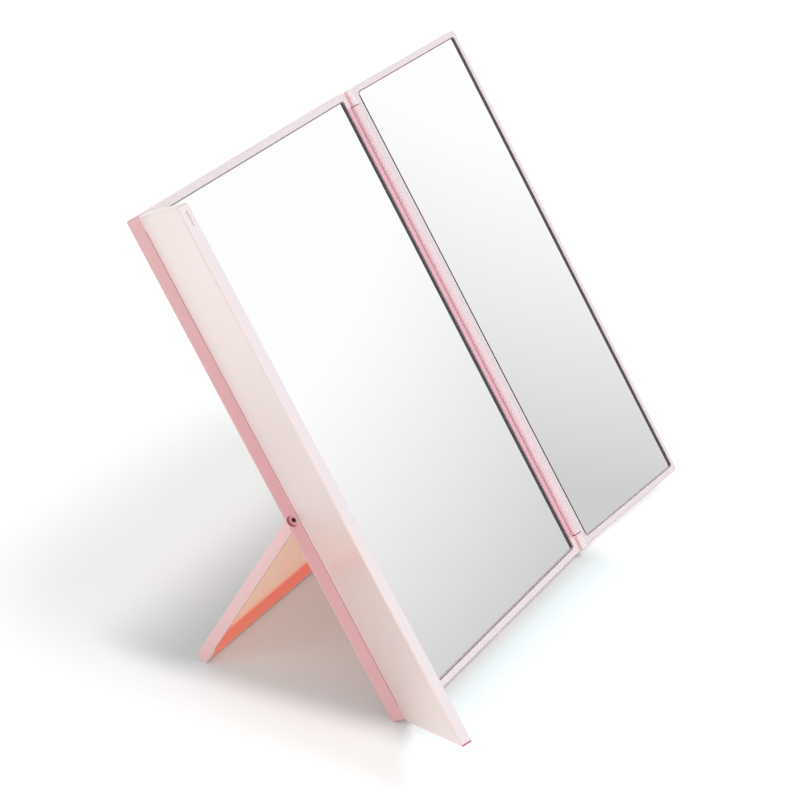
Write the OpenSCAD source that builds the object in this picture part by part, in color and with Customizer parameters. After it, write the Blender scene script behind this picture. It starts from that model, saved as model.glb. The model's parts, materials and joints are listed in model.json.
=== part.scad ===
// Slim three-panel table mirror: a centre panel on a tray-shaped kickstand,
// and two mirrored wings that fold over the centre on long hinge barrels.
//
// Panel frame, used inside every module before place(): x runs to the right across
// the panel, y backwards from the plane of the two hinge axes, z up the panel.
// place() leans the panel back until it stands on its lower rear edge and the stand.

/* [Panel] */
// Width of the centre panel over both hinge barrels
panel_w = 128; // [110:1:150]
// Height of the centre panel and of both wings
panel_h = 175; // [150:1:210]
// Depth from the hinge axes to the rear face of the panel
panel_d = 7.5; // [7:0.1:10]
// Thickness of the panel's side walls
side_wall = 1.6; // [1.2:0.1:2.4]
// Thickness of the wall across the top of the panel
top_wall = 1.6; // [1.2:0.1:3]
// Thickness of the bar across the bottom of the panel
bottom_bar = 1.2; // [0.8:0.1:1.6]
// Thickness of the moulded floor behind the centre mirror
floor_t = 0.8; // [0.6:0.1:0.9]
// Radius on the rear edges along the sides and the top of the panel
rear_edge_r = 0.6; // [0.3:0.1:0.6]
// Radius on the lower rear edge that the panel stands on
heel_r = 1.2; // [0.8:0.1:1.6]
// Depth of the narrow flats on the heel and the foot
land_d = 0.1; // [0.05:0.05:0.2]
// Radius of the panel's corners seen from the front
corner_r = 1.5; // [0.5:0.1:2]

/* [Front rims] */
// Width of the rim beside a hinge barrel
hinge_rim = 2.1; // [1.5:0.1:4]
// Width of the rim along the top and bottom edges
end_rim = 2.2; // [1.5:0.1:5]
// Width of the rim along a wing's free edge
free_rim = 1.6; // [1.2:0.1:4]
// Space between a folded wing and the centre panel
fold_gap = 0.3; // [0.2:0.05:0.6]

/* [Mirrors] */
// Thickness of the mirror glass
glass_t = 1.3; // [1:0.1:1.4]
// How far the glass lies below its rim
glass_recess = 0.2; // [0.1:0.05:0.3]
// Gap between the glass and its rim
glass_gap = 0.25; // [0.15:0.05:0.4]
// Radius of the corners of the glass
glass_corner_r = 0.8; // [0.5:0.1:1.2]
// Thickness of the adhesive sheet behind the glass
tape_t = 0.2; // [0.1:0.05:0.25]
// How far the adhesive sheet stays inside the edge of the glass
tape_inset = 3; // [1:0.5:6]

/* [Hinges] */
// Radius of the hinge barrels and knuckles
barrel_r = 2; // [1.9:0.05:2.2]
// Space around a barrel and at its ends
barrel_gap = 0.3; // [0.25:0.05:0.4]
// Length of the knuckles at the corners of the centre panel
knuckle_len = 5.4; // [4:0.1:9]
// Radius of the steel hinge pins
hinge_pin_r = 0.75; // [0.6:0.05:0.85]
// Length of each hinge pin
hinge_pin_len = 13.6; // [12.6:0.1:16]
// Radial running clearance around a pin
running_gap = 0.05; // [0.03:0.01:0.08]
// Radial gap left around a pressed or seated round piece
seat_gap = 0.01; // [0.01:0.005:0.02]
// How far a hinge pin's end lies below the knuckle's end face
pin_sink = 0.4; // [0.2:0.1:0.8]
// Wall of the split friction sleeve around a hinge pin
sleeve_wall = 0.5; // [0.4:0.05:0.6]
// Length of a friction sleeve
sleeve_len = 7.6; // [5:0.1:8]
// Width of the slit along a friction sleeve
sleeve_slit = 0.5; // [0.3:0.1:0.8]

/* [Wings] */
// Space between the two wings' free edges when both are folded shut
wing_gap = 0.6; // [0.4:0.1:2]
// Depth from the hinge axis to the back face of a wing
wing_d = 3.5; // [3.2:0.1:4.2]
// Radius on a wing's back edges
wing_edge_r = 0.8; // [0.4:0.1:1.2]
// Radius on the edges around a wing's front face
wing_front_r = 0.3; // [0.2:0.1:0.4]
// Length of the shallow slot in a wing's free edge
edge_slot_len = 4.2; // [2:0.1:8]
// Distance from the top of a wing down to the slot
edge_slot_top = 2.5; // [2:0.1:20]
// Width and depth of the slot
edge_slot_w = 0.4; // [0.2:0.1:0.6]
// Fold of the left wing in the standing pose, 0 is flat open
left_fold = 49.4; // [0:0.1:90]
// Fold of the right wing in the standing pose, 0 is flat open
right_fold = 9.7; // [0:0.1:90]

/* [Stand] */
// Height of the stand's pivot above the panel's bottom edge
pivot_z = 71.2; // [50:0.1:100]
// Depth of the stand's pivot behind the hinge axes
pivot_y = 4.9; // [4.8:0.05:5]
// Distance from the pivot to the front edges of the stand's arms
stand_r = 1.9; // [1.7:0.05:1.95]
// Distance from the pivot to the stand's back face
stand_back = 2.3; // [1.9:0.1:2.5]
// Thickness of the stand's back plate
stand_plate = 1; // [0.8:0.1:1.4]
// Thickness of the stand's two arms seen from behind
arm_w = 1.2; // [1:0.1:2]
// Thickness of the wall across the stand's foot
foot_wall = 1.4; // [1:0.1:2.5]
// How far the arms' front edges are set back between the pivot and the foot
arm_relief = 0.4; // [0.1:0.1:0.6]
// Length of the thicker arm end beside the foot
foot_end = 7; // [5:0.5:12]
// Radius of the foot's front corner, which rests on the table
foot_r = 1.2; // [0.8:0.1:1.4]
// Radius of the foot's rear corner
foot_back_r = 2.2; // [1:0.1:2.6]
// Thickness of the stop lip above the pivot
lip_t = 1.6; // [1:0.1:2]
// Radius of the finger notch in the bottom bar
notch_r = 9; // [7:0.5:14]
// Depth of the finger notch
notch_d = 3.8; // [2:0.1:4]
// Space between the folded stand and the panel around it
stand_gap = 0.3; // [0.25:0.05:0.5]
// Space between the tip of the folded stand and the bottom bar
tip_gap = 0.4; // [0.4:0.1:2]
// Opening angle of the stand, 0 is folded into the panel
stand_open = 62.1; // [45:0.1:70]
// Space left at the stop when the stand is fully open
stop_gap = 0.05; // [0.02:0.01:0.1]
// Radius of the stand's pivot pins
stand_pin_r = 0.75; // [0.6:0.05:0.9]
// Length of the pivot boss inside each arm
boss_len = 5.5; // [4:0.1:10]
// Radius of the pivot boss
boss_r = 1.6; // [1.3:0.1:1.65]
// Length of a pivot pin
stand_pin_len = 7.6; // [5:0.1:7.9]
// Radius of the round recess around the end of a pivot pin
pin_recess_r = 1.9; // [1.5:0.1:1.9]
// Depth of that recess
pin_recess_d = 0.9; // [0.3:0.1:1]
// Thickness of the washer between an arm and the side wall
washer_t = 0.2; // [0.15:0.01:0.22]
// Outer radius of that washer
washer_r = 1.7; // [1.3:0.1:1.7]

/* [Rear cover] */
// Thickness of the rear cover
cover_t = 1.2; // [1:0.1:1.5]
// Gap around the rear cover
cover_gap = 0.15; // [0.1:0.05:0.3]
// Width of the ledge that carries the cover's edges
ledge_w = 1.2; // [0.8:0.1:2]
// Radius of the screw bosses
screw_boss_r = 2.3; // [2:0.1:3]
// Distance of the screws from the sides of the panel
screw_side = 12; // [8:1:40]
// Distance of the screws from the top and bottom edges of the cover
screw_end = 9; // [6:1:30]
// Radius of a screw's shank
screw_r = 0.7; // [0.5:0.05:0.9]
// Radius of a screw's head
screw_head_r = 1.5; // [1.2:0.1:1.8]
// Length of a screw
screw_len = 3.6; // [2.5:0.1:3.8]
// Thickness of the ribs behind the mirror floor
rib_t = 0.8; // [0.6:0.1:1.2]
// Number of upright ribs
rib_count = 5; // [1:1:9]
// Number of level ribs
cross_rib_count = 3; // [1:1:6]

/* [Hidden] */
$fn = 64;

// Colours
pink = [0.90, 0.70, 0.72];
dark_pink = [0.84, 0.62, 0.65];
silver = [0.90, 0.92, 0.93];
steel = [0.62, 0.63, 0.65];
black_steel = [0.12, 0.12, 0.13];
white_nylon = [0.93, 0.92, 0.90];
tape_grey = [0.80, 0.80, 0.78];

// Overshoot of a cutting tool past the surface it opens
cut = 1;
// Size of the block that trims the heel and the foot to the table
trim = 6;

// Hinges
axis_x = barrel_r;                                  // from a side face in to a hinge axis
clear_r = barrel_r + barrel_gap;                    // free radius around a barrel
slit_y = clear_r + 0.1;                             // front edge of the side walls
barrel_z = knuckle_len + barrel_gap;                // lower end of a barrel
barrel_len = panel_h - 2 * barrel_z;
pin_bore_r = hinge_pin_r + seat_gap;
sleeve_in_r = hinge_pin_r + running_gap;
sleeve_out_r = sleeve_in_r + sleeve_wall;
sleeve_bore_r = sleeve_out_r + seat_gap;
pin_reach = pin_sink + hinge_pin_len - barrel_z;   // length of a pin inside its barrel
sleeve_bore_d = max(pin_reach, barrel_gap + sleeve_len) + barrel_gap + running_gap;

// Front faces and the stack of glass and tape behind them
face_y = fold_gap / 2;
glass_y = face_y + glass_recess;
tape_y = glass_y + glass_t;
seat_y = tape_y + tape_t;
floor_y = seat_y + floor_t;                         // rear face of the mirror floor
rim_x = axis_x + clear_r + hinge_rim;               // from a side face in to the mirror seat

// Wings, a measured from the hinge axis to the free edge
wing_w = panel_w / 2 - axis_x - wing_gap / 2;
wing_in = clear_r;                                  // inner edge of the wing plate
wing_rim_in = wing_in + hinge_rim;
wing_seat_w = wing_w - free_rim - wing_rim_in;

// Stand, local frame at the pivot: y to its back, z up the folded stand
stand_len = pivot_z - bottom_bar - tip_gap;         // pivot to tip
stand_x = side_wall + stand_gap;
stand_w = panel_w - 2 * stand_x;
toe_y = foot_r - stand_r;                             // centre of the foot's front rounding
toe_z = foot_r - stand_len;
// The lip above the pivot lands on the mirror floor when the stand is open
lip_len = (stand_back * cos(stand_open) + pivot_y - floor_y - stop_gap) / sin(stand_open);
lip_y = stand_back - lip_t;
lip_low = lip_len - lip_t / tan(stand_open);
lip_sweep = sqrt(pow(stand_back, 2) + pow(lip_len, 2));

// Rear cover
cover_y = panel_d - cover_t;
cover_z = pivot_z + lip_sweep + stand_gap;
cover_top = panel_h - top_wall - cover_gap;
screw_spots = [for (x = [screw_side, panel_w - screw_side])
               for (z = [cover_z + screw_end, cover_top - screw_end]) [x, z]];
screw_head_t = screw_head_r - screw_r;
screw_sink = 0.05;                                  // head below the cover's face

// Standing pose: the table touches the flats on the panel's heel and the foot's rounding
foot_y = pivot_y + toe_y * cos(stand_open) - toe_z * sin(stand_open);
foot_z = pivot_z + toe_y * sin(stand_open) + toe_z * cos(stand_open);
heel_y = panel_d - heel_r;
heel_z = heel_r;
base_len = sqrt(pow(foot_y - heel_y, 2) + pow(foot_z - heel_z, 2));
lean = atan2(foot_z - heel_z, foot_y - heel_y) - asin((foot_r - heel_r) / base_len);
floor_drop = heel_r - land_d + heel_y * sin(lean) - heel_z * cos(lean);

// Outer limits of the standing mirror, for an origin under its middle
far_left = axis_x - (wing_w - wing_edge_r) * cos(left_fold)
         - (wing_d - wing_edge_r) * sin(left_fold) - wing_edge_r;
far_right = panel_w - axis_x + (wing_w - wing_edge_r) * cos(right_fold)
          + (wing_d - wing_edge_r) * sin(right_fold) + wing_edge_r;
far_back = (panel_d - rear_edge_r) * cos(lean) + (panel_h - rear_edge_r) * sin(lean) + rear_edge_r;
tip_slope = sqrt(pow(sin(left_fold) * cos(lean), 2) + pow(sin(lean), 2));
far_front = face_y * cos(left_fold) * cos(lean) + corner_r * sin(lean)
          - (wing_w - corner_r) * sin(left_fold) * cos(lean) - corner_r * tip_slope;
origin_x = (far_left + far_right) / 2;
origin_y = (far_front + far_back) / 2;

// Stands the panel up: leans it back and moves the origin under the mirror's middle
module place() {
    translate([-origin_x, -origin_y, floor_drop]) rotate([-lean, 0, 0]) children();
}

// Mirror image about the middle of the panel
module other_side() {
    translate([panel_w, 0, 0]) mirror([1, 0, 0]) children();
}

// Children drawn with x as the distance from the hinge axis, z up, y to the wing's back
module left_wing_place() {
    place() translate([axis_x, 0, 0]) rotate([0, 0, left_fold]) mirror([1, 0, 0]) children();
}

module right_wing_place() {
    place() translate([panel_w - axis_x, 0, 0]) rotate([0, 0, -right_fold]) children();
}

module stand_place() {
    place() translate([0, pivot_y, pivot_z]) rotate([stand_open, 0, 0]) children();
}

// What is left of a square corner outside a round of radius r
module corner_waste(r) {
    if (r > 0) difference() {
        translate([-cut, -cut]) square(r + cut);
        translate([r, r]) circle(r = r);
    }
}

// Rectangle w by h from the origin; r = [lower left, lower right, upper right, upper left]
module round_rect(w, h, r) {
    difference() {
        square([w, h]);
        corner_waste(r[0]);
        translate([w, 0]) rotate(90) corner_waste(r[1]);
        translate([w, h]) rotate(180) corner_waste(r[2]);
        translate([0, h]) rotate(-90) corner_waste(r[3]);
    }
}

// Extrusions of a flat shape drawn in the (x, z) and (y, z) planes
module along_y(d) {
    translate([0, d, 0]) rotate([90, 0, 0]) linear_extrude(d) children();
}

module along_x(w) {
    rotate([90, 0, 90]) linear_extrude(w) children();
}

// Solid cylinder along x from x0 on
module rod_x(r, w) {
    rotate([0, 90, 0]) cylinder(r = r, h = w);
}

// Everything below the table in the panel frame, near the depth y
module below_table(y) {
    rotate([lean, 0, 0]) translate([-cut, y - trim, -floor_drop - trim])
        cube([panel_w + 2 * cut, 2 * trim, trim]);
}

// ---------------------------------------------------------------- centre panel

// Panel seen from above: the slab with a knuckle at each side
module panel_plan() {
    difference() {
        union() {
            translate([0, face_y]) square([panel_w, panel_d - face_y]);
            for (x = [axis_x, panel_w - axis_x]) translate([x, 0]) circle(r = barrel_r);
            for (x = [0, panel_w - axis_x]) translate([x, 0]) square([axis_x, slit_y]);
        }
        translate([0, panel_d]) rotate(-90) corner_waste(rear_edge_r);
        translate([panel_w, panel_d]) rotate(180) corner_waste(rear_edge_r);
    }
}

// Slab with its corners and edges rounded in all three views
module panel_blank() {
    front_y = barrel_r + cut;
    intersection() {
        linear_extrude(panel_h) panel_plan();
        translate([0, -front_y, 0]) along_y(front_y + panel_d + cut)
            round_rect(panel_w, panel_h, [corner_r, corner_r, corner_r, corner_r]);
        along_x(panel_w) translate([-front_y, 0])
            round_rect(front_y + panel_d, panel_h, [0, heel_r, rear_edge_r, 0]);
    }
}

// Free space around a barrel between the two knuckles
module barrel_trough() {
    translate([0, 0, knuckle_len]) linear_extrude(panel_h - 2 * knuckle_len) {
        translate([axis_x, 0]) circle(r = clear_r);
        translate([-cut, -clear_r - cut]) square([axis_x + cut, slit_y + clear_r + cut]);
    }
}

// Pocket that the glass and its adhesive sheet lie in, w wide
module mirror_seat(w) {
    r = glass_corner_r + glass_gap;
    translate([0, -cut, end_rim]) along_y(cut + seat_y)
        round_rect(w, panel_h - 2 * end_rim, [r, r, r, r]);
}

// Shallow tray behind the mirror floor: the stand below, the rear cover above
module rear_hollow() {
    translate([side_wall, floor_y, bottom_bar])
        cube([panel_w - 2 * side_wall, panel_d, cover_z - bottom_bar]);
    translate([side_wall, cover_y, cover_z - cut])
        cube([panel_w - 2 * side_wall, panel_d, panel_h - top_wall - cover_z + cut]);
    translate([side_wall + ledge_w, floor_y, cover_z - cut])
        cube([panel_w - 2 * side_wall - 2 * ledge_w, panel_d,
              panel_h - top_wall - ledge_w - cover_z + cut]);
}

// Ribs that stiffen the mirror floor behind the cover
module floor_ribs() {
    x0 = side_wall + ledge_w;
    z0 = cover_z + cover_t + 2 * stand_gap;
    inner_w = panel_w - 2 * x0;
    inner_h = panel_h - top_wall - ledge_w - z0;
    rib_h = cover_y - floor_y - stand_gap;
    for (i = [1:rib_count]) translate([x0 + inner_w * i / (rib_count + 1) - rib_t / 2, floor_y, z0])
        cube([rib_t, rib_h, inner_h]);
    for (i = [1:cross_rib_count]) translate([x0, floor_y, z0 + inner_h * i / (cross_rib_count + 1) - rib_t / 2])
        cube([inner_w, rib_h, rib_t]);
}

// Round posts that the cover screws bite into
module screw_bosses() {
    for (p = screw_spots) translate([p[0], floor_y, p[1]]) along_y(cover_y - floor_y)
        circle(r = screw_boss_r);
}

module screw_holes() {
    for (p = screw_spots) translate([p[0], panel_d - screw_sink - screw_len - running_gap, p[1]])
        along_y(screw_len) circle(r = screw_r + seat_gap);
}

// Pivot hole of the stand in one side wall, with the round recess outside it
module pivot_hole() {
    translate([-cut, pivot_y, pivot_z]) rod_x(pin_recess_r, cut + pin_recess_d);
    translate([0, pivot_y, pivot_z]) rod_x(stand_pin_r + running_gap, side_wall + cut);
}

module finger_notch() {
    translate([panel_w / 2, panel_d + notch_r - notch_d, -cut])
        cylinder(r = notch_r, h = bottom_bar + 2 * cut);
}

module pin_bore(r) {
    translate([axis_x, 0, -cut]) cylinder(r = r, h = panel_h + 2 * cut);
}

module centre_frame() {
    color(pink) place() difference() {
        union() {
            difference() {
                panel_blank();
                barrel_trough();
                other_side() barrel_trough();
                translate([rim_x, 0, 0]) mirror_seat(panel_w - 2 * rim_x);
                rear_hollow();
            }
            floor_ribs();
            screw_bosses();
        }
        screw_holes();
        pin_bore(pin_bore_r);
        other_side() pin_bore(pin_bore_r);
        pivot_hole();
        other_side() pivot_hole();
        finger_notch();
        below_table(heel_y * cos(lean) + heel_z * sin(lean));
    }
}

// Cover over the upper half of the back, its lower edge turned in
module rear_cover() {
    w = panel_w - 2 * side_wall - 2 * cover_gap;
    h = cover_top - cover_z;
    lip_w = w - 2 * ledge_w;
    r = glass_corner_r;
    color(dark_pink) place() difference() {
        union() {
            translate([side_wall + cover_gap, cover_y, cover_z]) along_y(cover_t)
                round_rect(w, h, [r, r, r, r]);
            translate([side_wall + cover_gap + ledge_w, floor_y + stand_gap, cover_z])
                cube([lip_w, cover_y - floor_y, cover_t]);
        }
        for (p = screw_spots) translate([p[0], 0, p[1]]) screw_way();
    }
}

// Countersunk way for one screw through the cover
module screw_way() {
    y = panel_d - screw_sink;
    translate([0, cover_y - cut, 0]) along_y(cover_t + 2 * cut) circle(r = screw_r + running_gap);
    translate([0, y, 0]) rotate([90, 0, 0])
        cylinder(r1 = screw_head_r + running_gap, r2 = screw_r + running_gap, h = screw_head_t);
    translate([0, y, 0]) along_y(cut) circle(r = screw_head_r + running_gap);
}

// Countersunk screw with a cross recess, its head flush with the cover
module screw() {
    y = panel_d - screw_sink;
    slot_w = screw_r / 2;
    slot_d = screw_head_t * 0.6;
    difference() {
        union() {
            translate([0, y, 0]) rotate([90, 0, 0])
                cylinder(r1 = screw_head_r, r2 = screw_r, h = screw_head_t);
            translate([0, y - screw_len, 0]) along_y(screw_len - screw_head_t / 2) circle(r = screw_r);
        }
        for (a = [0, 90]) translate([0, y, 0]) rotate([0, a, 0])
            translate([-screw_head_r * 0.6, -slot_d, -slot_w / 2])
                cube([screw_head_r * 1.2, slot_d + cut, slot_w]);
    }
}

module cover_screws() {
    color(black_steel) place()
        for (p = screw_spots) translate([p[0], 0, p[1]]) screw();
}

// Sheet of glass or tape, w wide between the walls of its seat, inset by g
module sheet(w, g, y, t, r) {
    translate([g, y, end_rim + g]) along_y(t)
        round_rect(w - 2 * g, panel_h - 2 * end_rim - 2 * g, [r, r, r, r]);
}

module centre_mirror() {
    color(silver) place() translate([rim_x, 0, 0])
        sheet(panel_w - 2 * rim_x, glass_gap, glass_y, glass_t, glass_corner_r);
}

module centre_mirror_tape() {
    color(tape_grey) place() translate([rim_x, 0, 0])
        sheet(panel_w - 2 * rim_x, glass_gap + tape_inset, tape_y, tape_t, glass_corner_r);
}

// ---------------------------------------------------------------- wings

// Wing plate with its back edges and its outer corners rounded
module wing_blank() {
    w = wing_w - wing_in;
    t = wing_d - face_y;
    translate([wing_in, face_y, 0]) intersection() {
        linear_extrude(panel_h)
            round_rect(w, t, [0, wing_front_r, wing_edge_r, wing_edge_r]);
        along_y(t) round_rect(w, panel_h, [wing_edge_r, corner_r, corner_r, wing_edge_r]);
        along_x(w) round_rect(t, panel_h, [wing_front_r, wing_edge_r, wing_edge_r, wing_front_r]);
    }
}

// Hinge barrel with the neck that joins it to the plate
module wing_barrel() {
    translate([0, 0, barrel_z]) linear_extrude(barrel_len) {
        circle(r = barrel_r);
        translate([0, face_y]) square([wing_in + wing_front_r, barrel_r - face_y]);
    }
}

module sleeve_bore() {
    translate([0, 0, barrel_z - cut]) cylinder(r = sleeve_bore_r, h = sleeve_bore_d + cut);
}

module flip_z() {
    translate([0, 0, panel_h]) mirror([0, 0, 1]) children();
}

// Shallow slot in the free edge, near the top
module edge_slot() {
    translate([wing_w - edge_slot_w, wing_d / 2 - edge_slot_w, panel_h - edge_slot_top - edge_slot_len])
        cube([edge_slot_w + cut, edge_slot_w, edge_slot_len]);
}

module wing_shell() {
    difference() {
        union() {
            wing_blank();
            wing_barrel();
        }
        translate([wing_rim_in, 0, 0]) mirror_seat(wing_seat_w);
        sleeve_bore();
        flip_z() sleeve_bore();
        edge_slot();
    }
}

module wing_mirror() {
    translate([wing_rim_in, 0, 0])
        sheet(wing_seat_w, glass_gap, glass_y, glass_t, glass_corner_r);
}

module wing_tape() {
    translate([wing_rim_in, 0, 0])
        sheet(wing_seat_w, glass_gap + tape_inset, tape_y, tape_t, glass_corner_r);
}

module left_wing_shell() { color(pink) left_wing_place() wing_shell(); }
module left_wing_mirror() { color(silver) left_wing_place() wing_mirror(); }
module left_wing_tape() { color(tape_grey) left_wing_place() wing_tape(); }
module right_wing_shell() { color(pink) right_wing_place() wing_shell(); }
module right_wing_mirror() { color(silver) right_wing_place() wing_mirror(); }
module right_wing_tape() { color(tape_grey) right_wing_place() wing_tape(); }

// ---------------------------------------------------------------- hinge pins

// Steel pin pressed into the lower knuckle and reaching into the barrel
module hinge_pin() {
    translate([axis_x, 0, pin_sink]) cylinder(r = hinge_pin_r, h = hinge_pin_len);
}

module left_bottom_hinge_pin() { color(steel) place() hinge_pin(); }
module left_top_hinge_pin() { color(steel) place() flip_z() hinge_pin(); }
module right_bottom_hinge_pin() { color(steel) place() other_side() hinge_pin(); }
module right_top_hinge_pin() { color(steel) place() other_side() flip_z() hinge_pin(); }

// Split sleeve that grips the pin and holds the wing where it is left
module sleeve() {
    translate([0, 0, barrel_z + barrel_gap]) difference() {
        cylinder(r = sleeve_out_r, h = sleeve_len);
        translate([0, 0, -cut]) cylinder(r = sleeve_in_r, h = sleeve_len + 2 * cut);
        translate([0, -sleeve_slit / 2, -cut])
            cube([sleeve_out_r + cut, sleeve_slit, sleeve_len + 2 * cut]);
    }
}

module sleeve_pair() {
    sleeve();
    flip_z() sleeve();
}

module left_friction_sleeves() { color(white_nylon) left_wing_place() sleeve_pair(); }
module right_friction_sleeves() { color(white_nylon) right_wing_place() sleeve_pair(); }

// ---------------------------------------------------------------- stand

// Stand seen from the side, pivot at the origin
module stand_profile() {
    relief_top = -2 * stand_r;
    relief_low = foot_end - stand_len;
    difference() {
        translate([-stand_r, -stand_len])
            round_rect(stand_r + stand_back, stand_len, [foot_r, foot_back_r, 0, 0]);
        polygon([[-stand_r - cut, relief_top + cut], [-stand_r + arm_relief, relief_top - arm_relief],
                 [-stand_r + arm_relief, relief_low + 2 * arm_relief], [-stand_r - cut, relief_low - 3 * cut]]);
    }
    circle(r = stand_r);
    polygon([[lip_y, -stand_r], [stand_back, -stand_r], [stand_back, lip_len], [lip_y, lip_low]]);
}

module stand() {
    inner_w = stand_w - 2 * arm_w;
    lip_from = boss_r + cut;
    color(pink) stand_place() translate([stand_x, 0, 0]) difference() {
        union() {
            difference() {
                along_x(stand_w) stand_profile();
                translate([arm_w, -stand_r - cut, foot_wall - stand_len])
                    cube([inner_w, cut + stand_r + stand_back - stand_plate, stand_len - foot_wall - lip_from]);
                translate([arm_w, -stand_r - cut, -lip_from - cut])
                    cube([inner_w, cut + stand_r + lip_y, lip_from + cut + stand_r + cut]);
            }
            translate([arm_w / 2, 0, 0]) rod_x(boss_r, arm_w / 2 + boss_len);
            translate([stand_w - arm_w - boss_len, 0, 0]) rod_x(boss_r, arm_w / 2 + boss_len);
        }
        translate([-cut, 0, 0]) rod_x(stand_pin_r + seat_gap, stand_w + 2 * cut);
        translate([-stand_x, 0, 0]) rotate([-stand_open, 0, 0]) translate([0, -pivot_y, -pivot_z])
            below_table(foot_y * cos(lean) + foot_z * sin(lean));
    }
}

// Pin pressed into the stand's boss, turning in the side wall; its end shows in the recess
module stand_pin() {
    translate([pin_recess_d - running_gap, 0, 0]) rod_x(stand_pin_r, stand_pin_len);
}

module left_stand_pin() { color(black_steel) stand_place() stand_pin(); }
module right_stand_pin() { color(black_steel) stand_place() other_side() stand_pin(); }

// Thin washer between the side wall and the stand's arm
module washer() {
    translate([side_wall + (stand_gap - washer_t) / 2, pivot_y, pivot_z]) difference() {
        rod_x(washer_r, washer_t);
        translate([-cut, 0, 0]) rod_x(stand_pin_r + running_gap, washer_t + 2 * cut);
    }
}

module stand_washers() {
    color(white_nylon) place() {
        washer();
        other_side() washer();
    }
}

// ---------------------------------------------------------------- whole object

centre_frame();
rear_cover();
cover_screws();
centre_mirror();
centre_mirror_tape();
left_wing_shell();
left_wing_mirror();
left_wing_tape();
right_wing_shell();
right_wing_mirror();
right_wing_tape();
left_top_hinge_pin();
left_bottom_hinge_pin();
right_top_hinge_pin();
right_bottom_hinge_pin();
left_friction_sleeves();
right_friction_sleeves();
stand();
left_stand_pin();
right_stand_pin();
stand_washers();
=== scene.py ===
"""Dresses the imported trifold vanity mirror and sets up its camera, floor and light."""

import json
import logging
import math
from dataclasses import dataclass, field
from enum import Enum
from typing import Iterable, Optional, Protocol, Sequence

import bmesh
import bpy
from mathutils import Matrix, Vector

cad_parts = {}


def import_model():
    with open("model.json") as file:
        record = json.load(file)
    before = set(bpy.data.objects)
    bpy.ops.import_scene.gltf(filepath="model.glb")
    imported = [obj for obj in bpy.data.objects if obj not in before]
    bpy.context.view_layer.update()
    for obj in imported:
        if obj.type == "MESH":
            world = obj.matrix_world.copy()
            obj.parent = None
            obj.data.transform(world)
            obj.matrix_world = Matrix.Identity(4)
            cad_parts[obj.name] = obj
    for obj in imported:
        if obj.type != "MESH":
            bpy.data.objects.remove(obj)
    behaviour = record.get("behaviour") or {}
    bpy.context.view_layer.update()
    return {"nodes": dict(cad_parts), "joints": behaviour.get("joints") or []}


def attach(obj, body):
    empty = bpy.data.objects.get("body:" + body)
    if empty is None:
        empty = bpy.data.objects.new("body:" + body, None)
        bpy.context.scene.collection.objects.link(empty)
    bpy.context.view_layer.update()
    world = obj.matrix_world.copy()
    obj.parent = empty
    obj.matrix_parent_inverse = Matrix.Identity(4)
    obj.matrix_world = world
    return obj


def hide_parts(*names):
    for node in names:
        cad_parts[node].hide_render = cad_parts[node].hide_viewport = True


LOG = logging.getLogger("trifold_mirror")
MM = 0.001
Colour = tuple[float, float, float]
MIX_FIRST, MIX_SECOND, MIX_RESULT = 6, 7, 2  # the colour sockets of a Mix node
RANDOM_MAX, RANDOM_FLOAT = 3, 1  # the float sockets of a Random Value node
TURN = 2 * math.pi
FLAT_ANGLE = 0.6  # degrees below which neighbouring faces count as one
SHARP_ANGLE = 35.0  # degrees above which an edge is rounded
TURNED = 0.3  # part of a unit normal from which a face counts as turned that way
SQUARE = 0.7  # and from which it counts as square to it
SILVER, EDGE, ARRIS = 0, 1, 2  # material slots of the mirrors


class Side(Enum):
    """The two wings, as the user sees them."""

    LEFT = "left"
    RIGHT = "right"


def linear(value: float) -> float:
    """Undoes the display curve of one value from 0 to 1."""
    return value / 12.92 if value <= 0.04045 else ((value + 0.055) / 1.055) ** 2.4


def srgb(red: float, green: float, blue: float) -> Colour:
    """Turns a colour written in 0..255 display values into linear values.

    Args:
        red: red display value.
        green: green display value.
        blue: blue display value.

    Returns:
        The linear colour.
    """
    return (linear(red / 255.0), linear(green / 255.0), linear(blue / 255.0))


# --------------------------------------------------------------------------- shader graphs


class Sock:
    """A shader socket that can be used in sums, products and comparisons."""

    def __init__(self, graph: "Graph", socket: bpy.types.NodeSocket) -> None:
        """Keeps the graph and the socket."""
        self.graph = graph
        self.socket = socket

    def _math(self, operation: str, *others: object) -> "Sock":
        """The result of a Math node that has this value first."""
        node = self.graph.node("ShaderNodeMath", {"operation": operation},
                               {i: v for i, v in enumerate((self, *others))})
        return node[0]

    def __add__(self, other: object) -> "Sock":
        """The sum."""
        return self._math("ADD", other)

    __radd__ = __add__

    def __mul__(self, other: object) -> "Sock":
        """The product."""
        return self._math("MULTIPLY", other)

    __rmul__ = __mul__

    def __sub__(self, other: object) -> "Sock":
        """The difference."""
        return self._math("SUBTRACT", other)

    def __rsub__(self, other: object) -> "Sock":
        """The difference, this value taken off."""
        return self._math("MULTIPLY", -1.0)._math("ADD", other)

    def __pow__(self, other: object) -> "Sock":
        """The power."""
        return self._math("POWER", other)

    def size(self) -> "Sock":
        """The value without its sign."""
        return self._math("ABSOLUTE")

    def clamp(self, low: float = 0.0, high: float = 1.0) -> "Sock":
        """Limits the value to the range from low to high."""
        return self._math("MAXIMUM", low)._math("MINIMUM", high)

    def smooth(self, start: float, end: float) -> "Sock":
        """A smooth step from 0 at start to 1 at end."""
        node = self.graph.node("ShaderNodeMapRange", {"interpolation_type": "SMOOTHSTEP"},
                               {"Value": self, "From Min": start, "From Max": end})
        return node["Result"]


class NodeRef:
    """A shader node whose outputs are reached by name or number as Sock objects."""

    def __init__(self, graph: "Graph", node: bpy.types.Node) -> None:
        """Keeps the graph and the node."""
        self.graph = graph
        self.node = node

    def __getitem__(self, key: object) -> Sock:
        """The output of that name or number."""
        return Sock(self.graph, self.node.outputs[key])


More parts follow.
